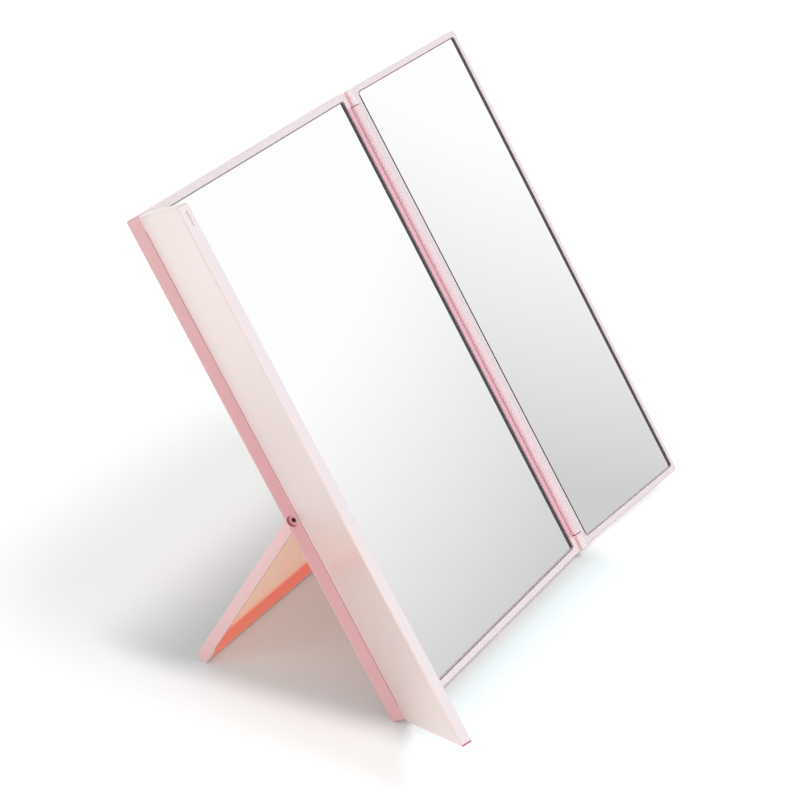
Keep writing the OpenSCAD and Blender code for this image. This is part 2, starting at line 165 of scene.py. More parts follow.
class Graph:
    """Builds the node tree of one material or of the world."""

    def __init__(self, tree: bpy.types.NodeTree) -> None:
        """Keeps the tree and empties it."""
        self.tree = tree
        self.tree.nodes.clear()

    @classmethod
    def material(cls, name: str) -> tuple["Graph", bpy.types.Material]:
        """Makes a new material.

        Args:
            name: the material's name.

        Returns:
            Its graph and the material.
        """
        material = bpy.data.materials.new(name)
        material.use_nodes = True
        return cls(material.node_tree), material

    def node(self, kind: str, settings: Optional[dict] = None,
             inputs: Optional[dict] = None) -> NodeRef:
        """Adds one node.

        Args:
            kind: the node's type name.
            settings: attributes to set on the node.
            inputs: values or sockets for its inputs, by name or number.

        Returns:
            The node.
        """
        node = self.tree.nodes.new(kind)
        for key, value in (settings or {}).items():
            setattr(node, key, value)
        for key, value in (inputs or {}).items():
            target = node.inputs[key]
            if isinstance(value, Sock):
                self.tree.links.new(value.socket, target)
            elif isinstance(value, tuple) and len(value) == 3 and len(target.default_value) == 4:
                target.default_value = (*value, 1.0)
            else:
                target.default_value = value
        return NodeRef(self, node)

    def place(self) -> Sock:
        """The object coordinate in metres."""
        return self.node("ShaderNodeTexCoord")["Object"]

    def attribute(self, name: str) -> Sock:
        """A value that was written into the mesh."""
        return self.node("ShaderNodeAttribute", {"attribute_type": "GEOMETRY",
                                                 "attribute_name": name})["Fac"]

    def stretch(self, where: Sock, share: float) -> Sock:
        """A coordinate whose height counts only for a share."""
        return self.node("ShaderNodeMapping", {}, {"Vector": where,
                                                   "Scale": (1.0, 1.0, share)})["Vector"]

    def noise(self, where: Sock, size: float, detail: float = 3.0, rough: float = 0.5) -> Sock:
        """Noise from 0 to 1.

        Args:
            where: the coordinate it is made from.
            size: the size of its features in metres.
            detail: the number of finer layers.
            rough: how strong the finer layers are.

        Returns:
            The noise value.
        """
        return self.node("ShaderNodeTexNoise", {}, {"Vector": where, "Scale": 1.0 / size,
                                                    "Detail": detail, "Roughness": rough})["Fac"]

    def mix(self, share: object, first: object, second: object) -> Sock:
        """Mixes two colours.

        Args:
            share: share of the second colour.
            first: colour or socket.
            second: colour or socket.

        Returns:
            The mixed colour.
        """
        node = self.node("ShaderNodeMix", {"data_type": "RGBA"}, {0: share})
        for key, value in ((MIX_FIRST, first), (MIX_SECOND, second)):
            if isinstance(value, Sock):
                self.tree.links.new(value.socket, node.node.inputs[key])
            else:
                node.node.inputs[key].default_value = (*value, 1.0)
        return node[MIX_RESULT]

    def bump(self, height: Sock, depth: float) -> Sock:
        """A normal from a height of 0..1 that stands for depth metres."""
        return self.node("ShaderNodeBump", {}, {"Height": height, "Distance": depth,
                                                "Strength": 1.0})["Normal"]

    def finish_surface(self, inputs: dict) -> None:
        """Ends a material with one Principled surface."""
        shader = self.node("ShaderNodeBsdfPrincipled", {}, inputs)
        self.node("ShaderNodeOutputMaterial", {}, {"Surface": shader["BSDF"]})


# --------------------------------------------------------------------------- finishes


@dataclass(frozen=True)
class GlossPlastic:
    """Moulded plastic with a polished skin, faint flow marks and a fine orange peel, and painted
    light and shade in its colour.
    """

    name: str
    # a lit and a shaded copy of one pink: painted light and shade, picked per face
    lit_colour: Colour
    shaded_colour: Colour
    # deep pink of the painted shade in gaps, recesses and under edges; the faint flow marks blend
    # towards it too
    painted_shade_and_flow_mark: Colour = srgb(196, 62, 84)
    # pink of the painted bounce light between close walls beside the hinges
    painted_bounce: Colour = srgb(238, 156, 184)
    roughness: float = 0.28
    coat: float = 0.25
    peel: float = 0.001
    glow: float = 0.0
    painted_glow: float = 0.0
    reach: tuple[float, float, float] = (0.006, 0.0025, 0.0018)
    flow_size: float = 0.035
    cloud_size: float = 0.09
    grain_size: float = 0.0018
    marks: float = 0.04

    def build(self) -> bpy.types.Material:
        """Makes the material.

        Returns:
            The material.
        """
        g, material = Graph.material(self.name)
        at = g.place()
        flow = g.noise(g.stretch(at, 0.25), self.flow_size, 2.0)
        cloud = g.noise(at, self.cloud_size, 1.0)
        grain = g.noise(at, self.grain_size, 1.0)
        # painted light and shade: each face takes the lit colour, the shaded colour or a blend of
        # them
        tone = g.attribute("tone")
        skin = g.mix(tone, self.lit_colour, self.shaded_colour)
        # painted pink bounce light on the rims and barrels beside the hinges
        with_painted_bounce = g.mix(g.attribute("painted_bounce"), skin, self.painted_bounce)
        spots = (flow * 0.6 + cloud * 0.4).smooth(0.35, 0.7)
        marks = g.mix(spots * self.marks, with_painted_bounce, self.painted_shade_and_flow_mark)
        # painted shade in the hinge gaps, the pivot recess and under the front edge
        colour = g.mix(g.attribute("painted_shade_and_flow_mark"), marks, self.painted_shade_and_flow_mark)
        inputs = {"Base Color": colour, "Roughness": self.roughness,
                  "Coat Weight": self.coat, "Coat Roughness": 0.18, "IOR": 1.49,
                  "Subsurface Weight": self.glow, "Subsurface Radius": self.reach,
                  "Subsurface Scale": 1.0, "Normal": g.bump(grain, self.peel * MM)}
        # painted glow: the lit inner faces give out light that stands for light let through the
        # thin wall
        if self.painted_glow:
            inputs["Emission Color"] = g.mix(tone, colour, (0.0, 0.0, 0.0))
            inputs["Emission Strength"] = self.painted_glow
        g.finish_surface(inputs)
        return material


@dataclass(frozen=True)
class SilverFace:
    """Silvered face of the mirror with a trace of haze."""

    name: str = "silvered_face"

    def build(self) -> bpy.types.Material:
        """Makes the material.

        Returns:
            The material.
        """
        g, material = Graph.material(self.name)
        at = g.place()
        haze = g.noise(at, 0.06, 2.0).smooth(0.35, 0.75)
        tint = g.mix(haze, (0.985, 0.988, 0.985), (0.975, 0.982, 0.98))
        g.finish_surface({"Base Color": tint, "Metallic": 1.0,
                          "Roughness": 0.004 + 0.01 * haze})
        return material


@dataclass(frozen=True)
class GroundEdge:
    """Ground edge of the glass: nearly black where the silver's paint wraps round it.

    The same finish in mauve grey is the narrow ground bevel in front, the arris.
    """

    name: str = "ground_glass_edge"
    dark: Colour = srgb(40, 35, 38)
    light: Colour = srgb(66, 60, 63)
    roughness: float = 0.32

    def build(self) -> bpy.types.Material:
        """Makes the material.

        Returns:
            The material.
        """
        g, material = Graph.material(self.name)
        chips = g.noise(g.place(), 0.0012, 3.0, 0.6)
        g.finish_surface({"Base Color": g.mix(chips.smooth(0.45, 0.7), self.dark, self.light),
                          "Roughness": self.roughness + 0.2 * chips,
                          "Normal": g.bump(chips, 0.02 * MM)})
        return material


@dataclass(frozen=True)
class DrawnMetal:
    """Drawn wire or a blackened screw: fine marks round the axis and worn spots."""

    name: str
    colour: Colour
    worn: Colour
    metallic: float = 1.0
    roughness: float = 0.35

    def build(self) -> bpy.types.Material:
        """Makes the material.

        Returns:
            The material.
        """
        g, material = Graph.material(self.name)
        at = g.place()
        lines = g.noise(g.stretch(at, 0.05), 0.0002, 2.0)
        wear = g.noise(at, 0.0015, 4.0, 0.7).smooth(0.6, 0.72)
        g.finish_surface({"Base Color": g.mix(wear, self.colour, self.worn),
                          "Metallic": self.metallic,
                          "Roughness": self.roughness + 0.15 * lines - 0.1 * wear,
                          "Normal": g.bump(lines, 0.003 * MM)})
        return material


@dataclass(frozen=True)
class DullPolymer:
    """Nylon or foam sheet: matt, slightly mottled, with open pores on foam."""

    name: str
    colour: Colour
    shade: Colour
    pore: float = 0.0004

    def build(self) -> bpy.types.Material:
        """Makes the material.

        Returns:
            The material.
        """
        g, material = Graph.material(self.name)
        pores = g.noise(g.place(), self.pore, 3.0, 0.6)
        g.finish_surface({"Base Color": g.mix(pores.smooth(0.4, 0.65), self.colour, self.shade),
                          "Roughness": 0.6 + 0.2 * pores, "Normal": g.bump(pores, 0.015 * MM)})
        return material


@dataclass
class Finishes:
    """All finishes of the object, made once."""

    body_pink: bpy.types.Material = field(init=False)
    wing_pink: bpy.types.Material = field(init=False)
    stand_pink: bpy.types.Material = field(init=False)
    silver: bpy.types.Material = field(init=False)
    glass_edge: bpy.types.Material = field(init=False)
    arris: bpy.types.Material = field(init=False)
    steel: bpy.types.Material = field(init=False)
    black: bpy.types.Material = field(init=False)
    nylon: bpy.types.Material = field(init=False)
    foam: bpy.types.Material = field(init=False)

    def __post_init__(self) -> None:
        """Makes the materials."""
        # each pink is given as a lit and a shaded colour: painted light and shade
        self.body_pink = GlossPlastic("body_pink", srgb(243, 231, 233),
                                      srgb(230, 181, 182)).build()
        self.wing_pink = GlossPlastic("wing_pink", srgb(240, 229, 232),
                                      srgb(240, 218, 213)).build()
        # the stand's inside gets painted light and a painted glow, its foot painted shade
        self.stand_pink = GlossPlastic("stand_pink", srgb(255, 222, 202), srgb(250, 203, 204),
                                       srgb(244, 150, 132), roughness=0.38, coat=0.1, glow=0.5,
                                       painted_glow=0.26).build()
        self.silver = SilverFace().build()
        self.glass_edge = GroundEdge().build()
        self.arris = GroundEdge("polished_arris", srgb(164, 150, 156),
                                srgb(186, 174, 179), roughness=0.15).build()
        self.steel = DrawnMetal("drawn_steel", srgb(160, 162, 166), srgb(200, 202, 205)).build()
        self.black = DrawnMetal("black_steel", srgb(24, 24, 26), srgb(70, 70, 74),
                                metallic=0.6, roughness=0.4).build()
        self.nylon = DullPolymer("white_nylon", srgb(238, 236, 230), srgb(226, 223, 216)).build()
        self.foam = DullPolymer("foam_sheet", srgb(224, 222, 214), srgb(206, 203, 194),
                                pore=0.0003).build()


# --------------------------------------------------------------------------- places


@dataclass
class PanelFrame:
    """Maps millimetres in the panel's own axes to the row frame in metres.

    The axes are those of the hinge joints: x to the right, y backwards from the hinge
    axes, z up the panel from its bottom edge.
    """

    joints: Sequence[dict]
    height: float = 175.0
    axis_in: float = 2.0

    def __post_init__(self) -> None:
        """Works out the axes from the left hinge."""
        left = next(j for j in self.joints if j["name"] == "left_wing_hinge")
        up = Vector(left["axis"]).normalized()
        right = Vector((1.0, 0.0, 0.0))
        back = up.cross(right)
        corner = Vector(left["pos_m"]) - right * self.axis_in * MM - up * self.height / 2 * MM
        self.matrix = Matrix((
            (right.x * MM, back.x * MM, up.x * MM, corner.x),
            (right.y * MM, back.y * MM, up.y * MM, corner.y),
            (right.z * MM, back.z * MM, up.z * MM, corner.z),
            (0.0, 0.0, 0.0, 1.0)))
        self.inverse = self.matrix.inverted()
        self.axes = (right, back, up)

    def local(self, point: Vector) -> Vector:
        """A point of the row frame in the panel's millimetres."""
        return self.inverse @ point

    def facing(self, normal: Vector) -> Vector:
        """A normal of the row frame in the panel's axes."""
        return Vector([normal.dot(axis) for axis in self.axes])

    def wing(self, side: Side, width: float, fold: float) -> Matrix:
        """Axes of a wing: x from the hinge axis to the free edge, y to the wing's back.

        Args:
            side: which wing.
            width: width of the panel in millimetres.
            fold: how far the wing is folded forward, in degrees.

        Returns:
            The matrix from the wing's millimetres to the row frame.
        """
        turn = math.radians(fold)
        if side is Side.LEFT:
            local = (Matrix.Translation((self.axis_in, 0.0, 0.0)) @ Matrix.Rotation(turn, 4, "Z")
                     @ Matrix.Scale(-1.0, 4, (1.0, 0.0, 0.0)))
        else:
            local = (Matrix.Translation((width - self.axis_in, 0.0, 0.0))
                     @ Matrix.Rotation(-turn, 4, "Z"))
        return self.matrix @ local


# --------------------------------------------------------------------------- mesh tools


def link(name: str, bm: bmesh.types.BMesh,
         materials: Iterable[bpy.types.Material]) -> bpy.types.Object:
    """Turns a bmesh into an object of the scene, its normals outward.

    Args:
        name: the name of the object and its mesh.
        bm: the bmesh, which is freed.
        materials: the materials of its slots, in order.

    Returns:
        The object.
    """
    bmesh.ops.recalc_face_normals(bm, faces=bm.faces)
    mesh = bpy.data.meshes.new(name)
    bm.to_mesh(mesh)
    bm.free()
    for material in materials:
        mesh.materials.append(material)
    obj = bpy.data.objects.new(name, mesh)
    bpy.context.scene.collection.objects.link(obj)
    return obj


def shade_smooth(obj: bpy.types.Object, degrees: float) -> None:
    """Shades a mesh smooth so that flat faces stay flat and only the narrow rounds turn.

    Args:
        obj: the object.
        degrees: faces that meet at more than this angle keep a sharp edge.
    """
    mesh = obj.data
    bm = bmesh.new()
    bm.from_mesh(mesh)
    limit = math.radians(degrees)
    normals: dict[int, Vector] = {}
    for vert in bm.verts:
        for loop in vert.link_loops:
            fan = Vector((0.0, 0.0, 0.0))
            for face in vert.link_faces:
                if face.normal.angle(loop.face.normal, 0.0) < limit:
                    fan += face.normal * face.calc_area()
            own = loop.face.normal.copy()
            normals[loop.index] = fan.normalized() if fan.length > 0.0 else own
    bm.free()
    mesh.shade_smooth()
    mesh.normals_split_custom_set([normals[i] for i in range(len(mesh.loops))])


def round_edges(bm: bmesh.types.BMesh, offset: float, segments: int) -> None:
    """Joins faces that lie flat on each other and rounds the sharp edges.

    Args:
        bm: the bmesh.
        offset: width of the round on each face, in the bmesh's unit.
        segments: number of steps in the round.
    """
    bmesh.ops.dissolve_limit(bm, angle_limit=math.radians(FLAT_ANGLE), verts=bm.verts,
                             edges=bm.edges, use_dissolve_boundaries=False)
    sharp = [edge for edge in bm.edges if len(edge.link_faces) == 2
             and edge.calc_face_angle(0.0) > math.radians(SHARP_ANGLE)]
    bmesh.ops.bevel(bm, geom=sharp, offset=offset, offset_type="OFFSET", segments=segments,
                    profile=0.5, affect="EDGES", clamp_overlap=True)


def rounded_outline(x0: float, z0: float, x1: float, z1: float, radius: float,
                    steps: int = 6) -> list[tuple[float, float]]:
    """Points round a rectangle with round corners, from the lower right one upwards.

    Args:
        x0: left end.
        z0: lower end.
        x1: right end.
        z1: upper end.
        radius: radius of the corners.
        steps: edges in each corner.

    Returns:
        The points, counter-clockwise.
    """
    points = []
    for cx, cz, start in ((x1 - radius, z0 + radius, -90), (x1 - radius, z1 - radius, 0),
                          (x0 + radius, z1 - radius, 90), (x0 + radius, z0 + radius, 180)):
        for i in range(steps + 1):
            a = math.radians(start + 90.0 * i / steps)
            points.append((cx + radius * math.cos(a), cz + radius * math.sin(a)))
    return points


class Skin(Protocol):
    """Three rules of painted light and shade that give a value from 0 to 1 for a surface.

    Each takes a point and its normal in the row frame.
    """

    def tone(self, point: Vector, normal: Vector) -> float:
        """The share of the shaded colour against the lit one: painted light and shade."""

    def painted_bounce(self, point: Vector, normal: Vector) -> float:
        """How much painted pink bounce light between close walls it takes on."""

    def painted_shade_and_flow_mark(self, point: Vector, normal: Vector) -> float:
        """How much painted shade it takes on in a gap, a recess or under an edge."""


@dataclass
class MouldedPiece:
    """A moulded shell: the CAD node's faces with every sharp edge rounded as a tool leaves it."""

    node: str
    body: str
    slot: str
    material: bpy.types.Material
    skin: "Skin"
    edge: float = 0.16
    segments: int = 2
    inset: float = 0.03
    cuts: Sequence[tuple[Vector, Vector]] = ()
    crease: float = 60.0

    def _paint(self, obj: bpy.types.Object) -> None:
        """Writes the skin's three values of painted light and shade on each face corner, read a
        little inside the face.

        Args:
            obj: the object.
        """
        mesh = obj.data
        for name, rule in (("tone", self.skin.tone), ("painted_bounce", self.skin.painted_bounce),
                           ("painted_shade_and_flow_mark", self.skin.painted_shade_and_flow_mark)):
            values = [0.0] * len(mesh.loops)
            for face in mesh.polygons:
                for i in face.loop_indices:
                    corner = mesh.vertices[mesh.loops[i].vertex_index].co
                    values[i] = rule(corner.lerp(face.center, self.inset), face.normal)
            mesh.attributes.new(name, "FLOAT", "CORNER").data.foreach_set("value", values)

    def build(self, nodes: dict[str, bpy.types.Object]) -> bpy.types.Object:
        """Makes the piece and puts it in the CAD node's place.

        Args:
            nodes: the CAD nodes by name.

        Returns:
            The piece.
        """
        bm = bmesh.new()
        bm.from_mesh(nodes[self.node].data)
        bmesh.ops.remove_doubles(bm, verts=bm.verts, dist=0.002 * MM)
        round_edges(bm, self.edge * MM, self.segments)
        for at, normal in self.cuts:
            bmesh.ops.bisect_plane(bm, geom=[*bm.verts, *bm.edges, *bm.faces],
                                   plane_co=at, plane_no=normal)
        obj = link(self.node + "_shell", bm, [self.material])
        self._paint(obj)
        shade_smooth(obj, self.crease)
        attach(obj, self.body)
        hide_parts(self.node)
        return obj


@dataclass
class MirrorGlass:
    """A mirror as it is seen: the silvered face below the glass's surface, in its dark edge; a flat
    dark band on the hinge's side is painted shade and the lighter lower wall painted light.
    """

    node: str
    body: str
    place: Matrix
    left: float
    right: float
    low: float
    high: float
    silver: bpy.types.Material
    edge: bpy.types.Material
    arris: bpy.types.Material
    surface: float = 0.35
    silver_depth: float = 0.62
    glass: float = 1.3
    rim: float = 0.3
    near: float = 0.0
    corner: float = 0.8
    spread: float = 0.15
    arris_width: float = 0.05
    across: float = 0.8
    crease: float = 30.0

    def _ring(self, bm: bmesh.types.BMesh, inset: float, depth: float, near: float = 0.0) -> list:
        """Makes the vertices of the glass's outline at one depth.

        Args:
            bm: the bmesh.
            inset: how far it lies inside the glass's edge, in millimetres.
            depth: depth behind the panel's front plane.
            near: further inset on the hinge's side; the band it widens takes the dark edge finish
                as painted shade.

        Returns:
            The vertices in order.
        """
        out = inset - self.spread
        outline = rounded_outline(self.left + out + near, self.low + out, self.right - out,
                                  self.high - out, self.corner - out)
        return [bm.verts.new(self.place @ Vector((x, depth, z))) for x, z in outline]

    def _paint_lit_lower_wall(self, bm: bmesh.types.BMesh) -> None:
        """Paints light on the walls along the lower rim by giving them the lighter finish of the
        arris.

        Args:
            bm: the bmesh of the glass.
        """
        up = (self.place.to_3x3() @ Vector((0.0, 0.0, 1.0))).normalized()
        middle = self.place @ Vector((0.0, 0.0, (self.low + self.high) / 2))
        bm.normal_update()
        for face in bm.faces:
            level = (face.calc_center_median() - middle).dot(up) / MM
            across = abs(face.normal.dot(up)) > self.across
            if face.material_index == EDGE and level < 0.0 and across:
                face.material_index = ARRIS

    def build(self) -> bpy.types.Object:
        """Makes the piece and puts it in the CAD node's place.

        Returns:
            The piece.
        """
        bm = bmesh.new()
        back = self.surface + self.glass
        face = self.surface + self.silver_depth
        rings = [self._ring(bm, 0.0, back), self._ring(bm, 0.0, self.surface + self.arris_width),
                 self._ring(bm, self.arris_width, self.surface),
                 self._ring(bm, self.rim, self.surface, self.near),
                 self._ring(bm, self.rim, face, self.near)]
        hinge_side = 3 * len(rings[0]) // 4 - 1
        for slot, low, high in zip((EDGE, ARRIS, ARRIS, EDGE), rings, rings[1:]):
            for i in range(len(low)):
                j = (i + 1) % len(low)
                # painted shade: on the hinge's side the widened flat band takes the dark edge
                # finish, standing for the shadowed gap and the dark wall's reflection
                dark = i == hinge_side and self.near > 0.0
                side = bm.faces.new((low[i], low[j], high[j], high[i]))
                side.material_index = EDGE if dark else slot
        bm.faces.new(rings[-1]).material_index = SILVER
        bm.faces.new(list(reversed(rings[0]))).material_index = EDGE
        self._paint_lit_lower_wall(bm)
        obj = link(self.node + "_glass", bm, [self.silver, self.edge, self.arris])
        shade_smooth(obj, self.crease)
        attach(obj, self.body)
        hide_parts(self.node)
        return obj


# --------------------------------------------------------------------------- sub-assemblies


@dataclass
class PanelSizes:
    """Sizes of the mirror in millimetres, as in the part's source."""

    width: float = 128.0
    height: float = 175.0
    rim_x: float = 6.4
    end_rim: float = 2.2
    free_rim: float = 1.6
    glass_gap: float = 0.25
    wing_width: float = 61.7
    wing_rim: float = 4.4
    left_fold: float = 49.4
    right_fold: float = 9.7


def step(value: float, start: float, end: float) -> float:
    """A smooth step.

    Args:
        value: where it is read.
        start: where it is 0.
        end: where it is 1.

    Returns:
        The step's height.
    """
    t = min(max((value - start) / (end - start), 0.0), 1.0)
    return t * t * (3.0 - 2.0 * t)


@dataclass
class PanelSkin:
    """The skin of the centre panel: painted light in front, painted shade on the sides and in the
    hinge gaps.
    """

    sizes: PanelSizes
    frame: PanelFrame
    knuckle: float = 5.4
    trough: float = 2.5
    pivot: tuple[float, float] = (4.9, 71.2)
    recess: float = 2.0
    # shares of painted pink bounce light on the rims and of painted shade in gaps, recesses and
    # under edges
    rim_bounce: float = 0.66
    shade: float = 0.12
    under_front_shade: float = 0.8
    deep: float = 0.4
    shallow: float = 0.15
    recess_wall: float = 0.85
    recess_floor: float = 0.25

    def cuts(self) -> list[tuple[Vector, Vector]]:
        """Planes across the front rims at which their colour changes.

        Returns:
            A point and a normal for each.
        """
        right, _, up = self.frame.axes
        s = self.sizes
        return ([(self.frame.matrix @ Vector((0.0, 0.0, z)), up)
                 for z in (self.knuckle, s.height - self.knuckle)]
                + [(self.frame.matrix @ Vector((x, 0.0, 0.0)), right)
                   for x in (s.rim_x, s.width - s.rim_x)])

    def _hinge(self, at: Vector, way: Vector) -> tuple[float, float]:
        """Where a point lies beside the nearer hinge axis.

        Args:
            at: the point in the panel's millimetres.
            way: its normal in the panel's axes.

        Returns:
            Its distance inward from the axis and how far its normal turns inward.
        """
        axis = self.frame.axis_in
        left = at.x < self.sizes.width / 2
        inward = at.x - axis if left else self.sizes.width - axis - at.x
        return inward, way.x if left else -way.x

    def _between(self, at: Vector) -> bool:
        """Whether a point lies beside the wing's barrel, between the end knuckles."""
        return self.knuckle < at.z < self.sizes.height - self.knuckle

    def tone(self, point: Vector, normal: Vector) -> float:
        """Painted shade on the sides, the back and the bottom, painted light on the front."""
        return 1.0 - step(-self.frame.facing(normal).y, 0.3, 0.75)

    def painted_bounce(self, point: Vector, normal: Vector) -> float:
        """Painted pink bounce light on the rims beside the hinges.

        Args:
            point: a point in the row frame.
            normal: its normal.

        Returns:
            The share of painted pink bounce light.
        """
        at, way = self.frame.local(point), self.frame.facing(normal)
        inward, _ = self._hinge(at, way)
        beside = way.y < -TURNED and inward < self.sizes.rim_x and self._between(at)
        return self.rim_bounce if beside else 0.0

    def painted_shade_and_flow_mark(self, point: Vector, normal: Vector) -> float:
        """Painted shade in the hinge troughs, in the recess of the stand's pivot and under the
        front edge.

        Args:
            point: a point in the row frame.
            normal: its normal.

        Returns:
            The share of the painted shade colour.
        """
        at, way = self.frame.local(point), self.frame.facing(normal)
        inward, turned = self._hinge(at, way)
        if math.hypot(inward, at.y) < self.trough and self._between(at):
            depth = self.deep if at.y > 0.0 else self.shallow
            return depth if inward * turned + at.y * way.y < -TURNED else 0.0
        ring = math.hypot(at.y - self.pivot[0], at.z - self.pivot[1])
        if ring < self.recess and inward < 0.0:
            return self.recess_wall if abs(way.x) < 0.5 else self.recess_floor
        return self._painted_under_shade(way)

    def _painted_under_shade(self, way: Vector) -> float:
        """Painted shade on the round under the front, a trace on the bottom."""
        under_front = way.z < -TURNED and way.y < -TURNED
        return self.under_front_shade if under_front else self.shade * step(-way.z, 0.6, 0.9)


@dataclass
class WingSkin(PanelSkin):
    """The skin of a wing: painted pink bounce light on its barrel towards the centre, painted shade
    towards the back.
    """

    # shares of painted pink bounce light on the barrel, from its flank turned least to the one
    # turned most towards the centre
    barrel_bounce: tuple[float, float] = (0.08, 0.34)
    margin: float = 0.05

    def painted_bounce(self, point: Vector, normal: Vector) -> float:
        """Painted pink bounce light on the barrel's flank towards the centre.

        Args:
            point: a point in the row frame.
            normal: its normal.

        Returns:
            The share of painted pink bounce light.
        """
        at, way = self.frame.local(point), self.frame.facing(normal)
        inward, turned = self._hinge(at, way)
        if way.y > 0.0 or inward < -self.sizes.wing_rim or not self._between(at):
            return 0.0
        low, high = self.barrel_bounce
        return low + (high - low) * step(turned, 0.35, 0.95)

    def painted_shade_and_flow_mark(self, point: Vector, normal: Vector) -> float:
        """Painted shade on the barrel's flank towards the back, in the gap to the side wall, and
        under the front edge.

        Args:
            point: a point in the row frame.
            normal: its normal.

        Returns:
            The share of the painted shade colour.
        """
        at, way = self.frame.local(point), self.frame.facing(normal)
        inward, _ = self._hinge(at, way)
        if math.hypot(inward, at.y) < self.frame.axis_in + self.margin:
            return self.deep * step(way.y, TURNED, 0.8)
        return self._painted_under_shade(way)


@dataclass
class CoverScrews:
    """The four screws of the back cover: one worn screw, repeated over a grid by geometry nodes."""

    frame: PanelFrame
    finish: bpy.types.Material
    node: str = "cover_screws"
    body: str = "centre_panel"
    columns: int = 2
    rows: int = 2
    edge: float = 0.03
    seed: int = 7
    crease: float = 30.0

    def _grid(self) -> bpy.types.NodeTree:
        """Makes the node group that sets the screw on every point of a grid, turned by chance.

        Returns:
            The node group.
        """
        tree = bpy.data.node_groups.new("screw_grid", "GeometryNodeTree")
        face = tree.interface
        face.new_socket(name="Geometry", in_out="OUTPUT", socket_type="NodeSocketGeometry")
        for name, kind in (("Geometry", "Geometry"), ("Width", "Float"), ("Height", "Float"),
                           ("Columns", "Int"), ("Rows", "Int"), ("Seed", "Int"),
                           ("Finish", "Material")):
            face.new_socket(name=name, in_out="INPUT", socket_type=f"NodeSocket{kind}")
        given, grid, turn, around, place, real, dress, out = (tree.nodes.new(kind) for kind in (
            "NodeGroupInput", "GeometryNodeMeshGrid", "FunctionNodeRandomValue",
            "ShaderNodeCombineXYZ", "GeometryNodeInstanceOnPoints",
            "GeometryNodeRealizeInstances", "GeometryNodeSetMaterial", "NodeGroupOutput"))
        turn.data_type = "FLOAT"
        turn.inputs[RANDOM_MAX].default_value = TURN
        for start, end in ((given.outputs["Width"], grid.inputs["Size X"]),
                           (given.outputs["Height"], grid.inputs["Size Y"]),
                           (given.outputs["Columns"], grid.inputs["Vertices X"]),
                           (given.outputs["Rows"], grid.inputs["Vertices Y"]),
                           (given.outputs["Seed"], turn.inputs["Seed"]),
                           (turn.outputs[RANDOM_FLOAT], around.inputs["Z"]),
                           (grid.outputs["Mesh"], place.inputs["Points"]),
                           (given.outputs["Geometry"], place.inputs["Instance"]),
                           (around.outputs["Vector"], place.inputs["Rotation"]),
                           (place.outputs["Instances"], real.inputs["Geometry"]),
                           (real.outputs["Geometry"], dress.inputs["Geometry"]),
                           (given.outputs["Finish"], dress.inputs["Material"]),
                           (dress.outputs["Geometry"], out.inputs["Geometry"])):
            tree.links.new(start, end)
        return tree

    def _one_screw(self, bm: bmesh.types.BMesh) -> tuple[Vector, float, float]:
        """Leaves one of the screws in the mesh, centred, with worn edges.

        Args:
            bm: the four screws, their axes along z.

        Returns:
            The middle of the four and the distances between their columns and rows.
        """
        low = Vector([min(v.co[i] for v in bm.verts) for i in range(3)])
        high = Vector([max(v.co[i] for v in bm.verts) for i in range(3)])
        middle = (low + high) / 2
        others = [v for v in bm.verts if v.co.x > middle.x or v.co.y > middle.y]
        bmesh.ops.delete(bm, geom=others, context="VERTS")
        width = 2 * (middle.x - (low.x + max(v.co.x for v in bm.verts)) / 2)
        height = 2 * (middle.y - (low.y + max(v.co.y for v in bm.verts)) / 2)
        centre = Vector((middle.x - width / 2, middle.y - height / 2, 0.0))
        bmesh.ops.translate(bm, verts=bm.verts, vec=-centre)
        round_edges(bm, self.edge, 1)
        return Vector((middle.x, middle.y, 0.0)), width, height

    def build(self, nodes: dict[str, bpy.types.Object]) -> bpy.types.Object:
        """Makes the piece and puts it in the CAD node's place.

        Args:
            nodes: the CAD nodes by name.

        Returns:
            The piece.
        """
        lay = self.frame.matrix @ Matrix.Rotation(TURN / 4, 4, "X")
        bm = bmesh.new()
        bm.from_mesh(nodes[self.node].data)
        bmesh.ops.transform(bm, matrix=lay.inverted(), verts=bm.verts)
        middle, width, height = self._one_screw(bm)
        screw = link("one_screw", bm, [self.finish])
        modifier = screw.modifiers.new("grid", "NODES")
        modifier.node_group = self._grid()
        keys = {item.name: item.identifier for item in modifier.node_group.interface.items_tree
                if item.in_out == "INPUT"}
        for name, value in (("Width", width), ("Height", height), ("Columns", self.columns),
                            ("Rows", self.rows), ("Seed", self.seed), ("Finish", self.finish)):
            modifier[keys[name]] = value
        ready = screw.evaluated_get(bpy.context.evaluated_depsgraph_get())
        mesh = bpy.data.meshes.new_from_object(ready)
        bpy.data.objects.remove(screw)
        mesh.transform(lay @ Matrix.Translation(middle))
        obj = bpy.data.objects.new(self.node + "_set", mesh)
        bpy.context.scene.collection.objects.link(obj)
        shade_smooth(obj, self.crease)
        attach(obj, self.body)
        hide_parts(self.node)
        return obj


